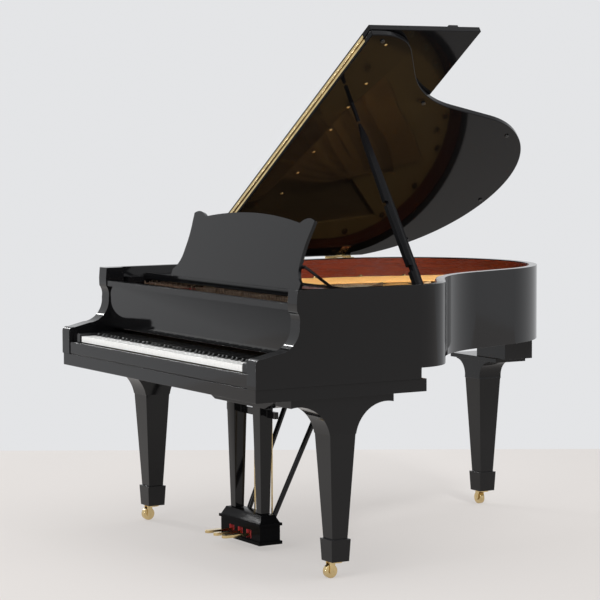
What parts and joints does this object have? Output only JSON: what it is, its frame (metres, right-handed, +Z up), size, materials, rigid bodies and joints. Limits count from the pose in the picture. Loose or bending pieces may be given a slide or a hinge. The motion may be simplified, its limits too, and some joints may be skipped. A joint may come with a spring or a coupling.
{
  "type": "grand piano",
  "caption": "Baby grand piano in polished black with its lid propped open, folded front flap, music desk, keyboard, cast plate and strings, pedal lyre and square tapered legs on brass casters.",
  "frame": {"origin": "on the floor, midway along the length and across the case", "axes": "+X to the treble side (the player's right), +Y from the keys to the tail, +Z up"},
  "size_m": [1.5008, 1.7468, 1.8687],
  "materials": {
    "black_lacquer": "polished black lacquer over wood",
    "mahogany": "satin red-brown veneer",
    "spruce": "satin varnished spruce",
    "maple": "plain maple",
    "gold_iron": "gold-bronzed cast iron",
    "steel": "drawn steel",
    "copper": "copper winding",
    "brass": "polished brass",
    "rubber": "soft black rubber",
    "felt": "pressed wool felt on wood",
    "ivory_white": "gloss white key top",
    "ebony_black": "satin black"
  },
  "bodies": {
    "case": {"outer_rim": "black_lacquer", "inner_rim": "mahogany", "keybed": "black_lacquer", "key_slip": "black_lacquer", "key_blocks": "black_lacquer", "stretcher": "black_lacquer", "case_beams": "spruce", "soundboard": "spruce", "bridges": "maple", "iron_plate": "gold_iron", "pin_block": "maple", "tuning_pins": "steel", "plain_strings": "steel", "wound_strings": "copper", "rim_fittings": "brass", "bass_front_leg": "black_lacquer", "treble_front_leg": "black_lacquer", "tail_leg": "black_lacquer", "lyre_frame": "black_lacquer", "pedal_box": "black_lacquer", "lyre_braces": "black_lacquer"},
    "bass_front_swivel": {"bass_front_caster_fork": "brass"},
    "bass_front_roller": {"bass_front_caster_wheel": "brass"},
    "treble_front_swivel": {"treble_front_caster_fork": "brass"},
    "treble_front_roller": {"treble_front_caster_wheel": "brass"},
    "tail_swivel": {"tail_caster_fork": "brass"},
    "tail_roller": {"tail_caster_wheel": "brass"},
    "shift_lever": {"shift_pedal": "brass"},
    "shift_rise": {"shift_pedal_rod": "brass"},
    "sostenuto_lever": {"sostenuto_pedal": "brass"},
    "sostenuto_rise": {"sostenuto_pedal_rod": "brass"},
    "damper_lever": {"damper_pedal": "brass"},
    "damper_rise": {"damper_pedal_rod": "brass"},
    "lid": {"lid_panel": "black_lacquer", "lid_fittings": "brass", "flap_hinge_leaf_lid": "brass", "lid_bumpers": "rubber"},
    "flap": {"lid_flap": "black_lacquer", "flap_hinge_leaf_flap": "brass"},
    "prop": {"lid_prop": "black_lacquer"},
    "half_prop": {"short_prop": "black_lacquer"},
    "fall": {"fallboard": "black_lacquer"},
    "tray": {"desk_tray": "black_lacquer"},
    "desk": {"music_desk": "black_lacquer"},
    "strut": {"desk_strut": "black_lacquer"},
    "action": {"key_frame": "maple"},
    "hammer_set": {"hammers": "felt"},
    "damper_set": {"dampers": "black_lacquer"},
    "keys_a_natural_set": {"keys_a_natural": "ivory_white"},
    "keys_b_natural_set": {"keys_b_natural": "ivory_white"},
    "keys_c_natural_set": {"keys_c_natural": "ivory_white"},
    "keys_d_natural_set": {"keys_d_natural": "ivory_white"},
    "keys_e_natural_set": {"keys_e_natural": "ivory_white"},
    "keys_f_natural_set": {"keys_f_natural": "ivory_white"},
    "keys_g_natural_set": {"keys_g_natural": "ivory_white"},
    "keys_c_sharp_set": {"keys_c_sharp": "ebony_black"},
    "keys_d_sharp_set": {"keys_d_sharp": "ebony_black"},
    "keys_f_sharp_set": {"keys_f_sharp": "ebony_black"},
    "keys_g_sharp_set": {"keys_g_sharp": "ebony_black"},
    "keys_a_sharp_set": {"keys_a_sharp": "ebony_black"}
  },
  "joints": [
    {"name": "bass_front_swivel_turn", "type": "hinge", "parent": "case", "child": "bass_front_swivel", "pos_m": [-0.67, -0.52935, 0.057], "axis": [0, 0, 1], "continuous": true},
    {"name": "bass_front_roll", "type": "hinge", "parent": "bass_front_swivel", "child": "bass_front_roller", "pos_m": [-0.67, -0.55035, 0.024], "axis": [1, 0, 0], "continuous": true},
    {"name": "treble_front_swivel_turn", "type": "hinge", "parent": "case", "child": "treble_front_swivel", "pos_m": [0.67, -0.52935, 0.057], "axis": [0, 0, 1], "continuous": true},
    {"name": "treble_front_roll", "type": "hinge", "parent": "treble_front_swivel", "child": "treble_front_roller", "pos_m": [0.67, -0.55035, 0.024], "axis": [1, 0, 0], "continuous": true},
    {"name": "tail_swivel_turn", "type": "hinge", "parent": "case", "child": "tail_swivel", "pos_m": [-0.286, 0.75665, 0.057], "axis": [0, 0, 1], "continuous": true},
    {"name": "tail_roll", "type": "hinge", "parent": "tail_swivel", "child": "tail_roller", "pos_m": [-0.307, 0.75665, 0.024], "axis": [0, 1, 0], "continuous": true},
    {"name": "shift_press", "type": "hinge", "parent": "case", "child": "shift_lever", "pos_m": [-0.062, -0.47735, 0.053], "axis": [1, 0, 0], "range_deg": [0, 5.7], "stiffness_Nm_per_rad": 20, "springref_deg": -17.19},
    {"name": "shift_rod_lift", "type": "slide", "parent": "case", "child": "shift_rise", "axis": [0, 0, 1], "range_m": [0, 0.00567]},
    {"name": "sostenuto_press", "type": "hinge", "parent": "case", "child": "sostenuto_lever", "pos_m": [0, -0.47735, 0.053], "axis": [1, 0, 0], "range_deg": [0, 5.7], "stiffness_Nm_per_rad": 20, "springref_deg": -17.19},
    {"name": "sostenuto_rod_lift", "type": "slide", "parent": "case", "child": "sostenuto_rise", "axis": [0, 0, 1], "range_m": [0, 0.00567]},
    {"name": "damper_press", "type": "hinge", "parent": "case", "child": "damper_lever", "pos_m": [0.062, -0.47735, 0.053], "axis": [1, 0, 0], "range_deg": [0, 5.7], "stiffness_Nm_per_rad": 20, "springref_deg": -17.19},
    {"name": "damper_rod_lift", "type": "slide", "parent": "case", "child": "damper_rise", "axis": [0, 0, 1], "range_m": [0, 0.00567]},
    {"name": "lid_open", "type": "hinge", "parent": "case", "child": "lid", "pos_m": [-0.7418, -0.11335, 0.9841], "axis": [0, -1, 0], "range_deg": [-34.2, 0]},
    {"name": "flap_fold", "type": "hinge", "parent": "lid", "child": "flap", "pos_m": [-0.14103, -0.27185, 1.41983], "axis": [-0.8271, 0, -0.5621], "range_deg": [-180, 0]},
    {"name": "prop_fold", "type": "hinge", "parent": "case", "child": "prop", "pos_m": [0.655, -0.17635, 0.953], "axis": [0.9003, 0.047, -0.4327], "range_deg": [-180.5, 0]},
    {"name": "half_prop_swing", "type": "hinge", "parent": "prop", "child": "half_prop", "pos_m": [0.58869, -0.18394, 1.04155], "axis": [-0.7727, -0.2152, -0.5972], "range_deg": [0, 60]},
    {"name": "fall_swing", "type": "hinge", "parent": "case", "child": "fall", "pos_m": [0, -0.69235, 0.76], "axis": [-1, 0, 0], "range_deg": [-90, 0]},
    {"name": "tray_slide", "type": "slide", "parent": "case", "child": "tray", "axis": [0, -1, 0], "range_m": [0, 0.06]},
    {"name": "desk_tip", "type": "hinge", "parent": "tray", "child": "desk", "pos_m": [0, -0.52835, 0.96], "axis": [1, 0, 0], "range_deg": [-70, 0]},
    {"name": "strut_fold", "type": "hinge", "parent": "desk", "child": "strut", "pos_m": [0, -0.50201, 1.03236], "axis": [1, 0, 0], "range_deg": [0, 105.5]},
    {"name": "action_shift", "type": "slide", "parent": "case", "child": "action", "axis": [1, 0, 0], "range_m": [0, 0.0031]},
    {"name": "hammer_strike", "type": "hinge", "parent": "action", "child": "hammer_set", "pos_m": [0, -0.54335, 0.811], "axis": [1, 0, 0], "range_deg": [0, 28]},
    {"name": "damper_lift", "type": "slide", "parent": "case", "child": "damper_set", "axis": [0, 0, 1], "range_m": [0, 0.0051]},
    {"name": "keys_a_natural_press", "type": "hinge", "parent": "action", "child": "keys_a_natural_set", "pos_m": [0, -0.64335, 0.7005], "axis": [1, 0, 0], "range_deg": [0, 2.6], "stiffness_Nm_per_rad": 4, "springref_deg": -11.46},
    {"name": "keys_b_natural_press", "type": "hinge", "parent": "action", "child": "keys_b_natural_set", "pos_m": [0, -0.64335, 0.7005], "axis": [1, 0, 0], "range_deg": [0, 2.6], "stiffness_Nm_per_rad": 4, "springref_deg": -11.46},
    {"name": "keys_c_natural_press", "type": "hinge", "parent": "action", "child": "keys_c_natural_set", "pos_m": [0, -0.64335, 0.7005], "axis": [1, 0, 0], "range_deg": [0, 2.6], "stiffness_Nm_per_rad": 4, "springref_deg": -11.46},
    {"name": "keys_d_natural_press", "type": "hinge", "parent": "action", "child": "keys_d_natural_set", "pos_m": [0, -0.64335, 0.7005], "axis": [1, 0, 0], "range_deg": [0, 2.6], "stiffness_Nm_per_rad": 4, "springref_deg": -11.46},
    {"name": "keys_e_natural_press", "type": "hinge", "parent": "action", "child": "keys_e_natural_set", "pos_m": [0, -0.64335, 0.7005], "axis": [1, 0, 0], "range_deg": [0, 2.6], "stiffness_Nm_per_rad": 4, "springref_deg": -11.46},
    {"name": "keys_f_natural_press", "type": "hinge", "parent": "action", "child": "keys_f_natural_set", "pos_m": [0, -0.64335, 0.7005], "axis": [1, 0, 0], "range_deg": [0, 2.6], "stiffness_Nm_per_rad": 4, "springref_deg": -11.46},
    {"name": "keys_g_natural_press", "type": "hinge", "parent": "action", "child": "keys_g_natural_set", "pos_m": [0, -0.64335, 0.7005], "axis": [1, 0, 0], "range_deg": [0, 2.6], "stiffness_Nm_per_rad": 4, "springref_deg": -11.46},
    {"name": "keys_c_sharp_press", "type": "hinge", "parent": "action", "child": "keys_c_sharp_set", "pos_m": [0, -0.64335, 0.7005], "axis": [1, 0, 0], "range_deg": [0, 2.6], "stiffness_Nm_per_rad": 4, "springref_deg": -11.46},
    {"name": "keys_d_sharp_press", "type": "hinge", "parent": "action", "child": "keys_d_sharp_set", "pos_m": [0, -0.64335, 0.7005], "axis": [1, 0, 0], "range_deg": [0, 2.6], "stiffness_Nm_per_rad": 4, "springref_deg": -11.46},
    {"name": "keys_f_sharp_press", "type": "hinge", "parent": "action", "child": "keys_f_sharp_set", "pos_m": [0, -0.64335, 0.7005], "axis": [1, 0, 0], "range_deg": [0, 2.6], "stiffness_Nm_per_rad": 4, "springref_deg": -11.46},
    {"name": "keys_g_sharp_press", "type": "hinge", "parent": "action", "child": "keys_g_sharp_set", "pos_m": [0, -0.64335, 0.7005], "axis": [1, 0, 0], "range_deg": [0, 2.6], "stiffness_Nm_per_rad": 4, "springref_deg": -11.46},
    {"name": "keys_a_sharp_press", "type": "hinge", "parent": "action", "child": "keys_a_sharp_set", "pos_m": [0, -0.64335, 0.7005], "axis": [1, 0, 0], "range_deg": [0, 2.6], "stiffness_Nm_per_rad": 4, "springref_deg": -11.46}
  ],
  "couplings": [
    {"joint": "shift_rod_lift", "follows": "shift_press", "m_per_rad": 0.056},
    {"joint": "sostenuto_rod_lift", "follows": "sostenuto_press", "m_per_rad": 0.056},
    {"joint": "damper_rod_lift", "follows": "damper_press", "m_per_rad": 0.056},
    {"joint": "prop_fold", "follows": "lid_open", "ratio": 5.2632},
    {"joint": "strut_fold", "follows": "desk_tip", "ratio": -1.5},
    {"joint": "action_shift", "follows": "shift_press", "m_per_rad": 0.03},
    {"joint": "damper_lift", "follows": "damper_press", "m_per_rad": 0.05}
  ]
}
